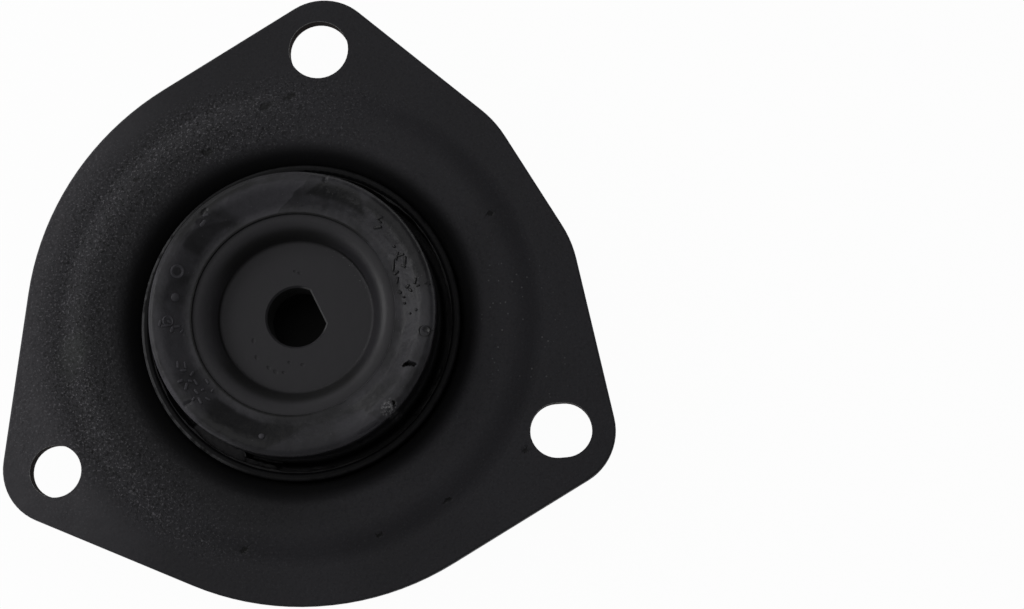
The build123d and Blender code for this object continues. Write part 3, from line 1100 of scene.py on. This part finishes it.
# Lamps, as (azimuth, elevation, distance, width, height, power): degrees, metres and watts
LAMPS = {
    "left_softbox": (172, 31, 0.60, 0.30, 0.24, 0.74),
    "rear_softbox": (123, 27, 0.60, 0.25, 0.22, 0.45),
    "top_panel": (125, 76, 0.62, 0.45, 0.45, 0.42),
    "front_left_fill": (208, 44, 0.60, 0.22, 0.22, 0.19),
}


def add_lamp(name, azimuth, elevation, distance, width, height, power):
    """Area lamp that faces the object from an azimuth and an elevation in degrees."""
    lamp = bpy.data.lights.new(name, "AREA")
    lamp.shape = "RECTANGLE"
    lamp.size = width
    lamp.size_y = height
    lamp.energy = power
    made = bpy.data.objects.new(name, lamp)
    reach, rise = polar(1, elevation)
    away = Vector((*polar(reach, azimuth), rise))
    made.location = away * distance
    made.rotation_euler = away.to_track_quat("Z", "Y").to_euler()
    bpy.context.scene.collection.objects.link(made)


def light_sky(sky):
    """Even light all round, with white behind the floor's edge."""
    world = bpy.data.worlds.new("studio_sky")
    world.use_nodes = True
    n = Nodes(world.node_tree)
    heading = n.node("ShaderNodeTexCoord", out="Generated")
    low = 1 - n.ramp(n.node("ShaderNodeSeparateXYZ", inputs={0: heading}, out=2), 0.05, 0.2)
    mirrored = n.node("ShaderNodeLightPath", out="Is Glossy Ray")
    mirrored = mirrored.above(n.node("ShaderNodeLightPath", out="Is Transmission Ray"))
    seen = n.node("ShaderNodeLightPath", out="Is Camera Ray").above(mirrored * low)
    even = n.node("ShaderNodeBackground", inputs={"Color": WHITE, "Strength": sky})
    white = n.node("ShaderNodeBackground", inputs={"Color": WHITE, "Strength": 1.0})
    surface = n.node("ShaderNodeMixShader", inputs={0: seen, 1: even, 2: white})
    n.node("ShaderNodeOutputWorld", inputs={"Surface": surface})
    bpy.context.scene.world = world


class STRUT_OT_set_stage(bpy.types.Operator):
    """Set up the floor, the light and the camera."""

    bl_idname = "strut.set_stage"
    bl_label = "Set the stage"

    def execute(self, context):
        scene = context.scene
        stage = scene.strut_stage
        bm = bmesh.new()
        bmesh.ops.create_grid(bm, x_segments=1, y_segments=1, size=stage.floor_size)
        bmesh.ops.translate(bm, vec=(0, 0, PLATE_LOW.z), verts=bm.verts)
        finished_object("studio_floor", bm, floor_finish(scene.strut_colours, stage))
        for name, places in LAMPS.items():
            add_lamp(name, *places)
        light_sky(stage.sky)
        camera = bpy.data.cameras.new("camera")
        camera.lens = stage.lens
        camera.clip_start = 0.01
        camera.clip_end = 20
        made = bpy.data.objects.new("camera", camera)
        made.location = (stage.camera_right, stage.camera_back, stage.camera_height)
        made.rotation_euler = (stage.camera_pitch, stage.camera_roll, 0)
        scene.collection.objects.link(made)
        scene.camera = made
        scene.view_settings.view_transform = "Standard"
        return {"FINISHED"}


class STRUT_PT_panel(bpy.types.Panel):
    """Lists the steps that dress the strut mount."""

    bl_idname = "STRUT_PT_panel"
    bl_label = "Strut mount"
    bl_space_type = "VIEW_3D"
    bl_region_type = "UI"
    bl_category = "Strut mount"

    def draw(self, context):
        for step in STEPS:
            self.layout.operator(step.bl_idname)


SETTINGS = {
    "strut_rubber": RubberSizes,
    "strut_details": DetailSizes,
    "strut_colours": FinishColours,
    "strut_stage": StageSizes,
}
STEPS = (
    STRUT_OT_coat_plate,
    STRUT_OT_coat_sleeve,
    STRUT_OT_coat_core,
    STRUT_OT_mould_rubber,
    STRUT_OT_leave_flash,
    STRUT_OT_set_stage,
)
CLASSES = (*SETTINGS.values(), *STEPS, STRUT_PT_panel)


def register():
    for kind in CLASSES:
        bpy.utils.register_class(kind)
    for name, kind in SETTINGS.items():
        setattr(bpy.types.Scene, name, PointerProperty(type=kind))


def unregister():
    for name in SETTINGS:
        delattr(bpy.types.Scene, name)
    for kind in reversed(CLASSES):
        bpy.utils.unregister_class(kind)


def main():
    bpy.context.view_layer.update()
    register()
    bpy.ops.strut.coat_plate()
    bpy.ops.strut.coat_sleeve()
    bpy.ops.strut.coat_core()
    bpy.ops.strut.mould_rubber()
    bpy.ops.strut.leave_flash()
    bpy.ops.strut.set_stage()


if __name__ == "__main__":
    main()
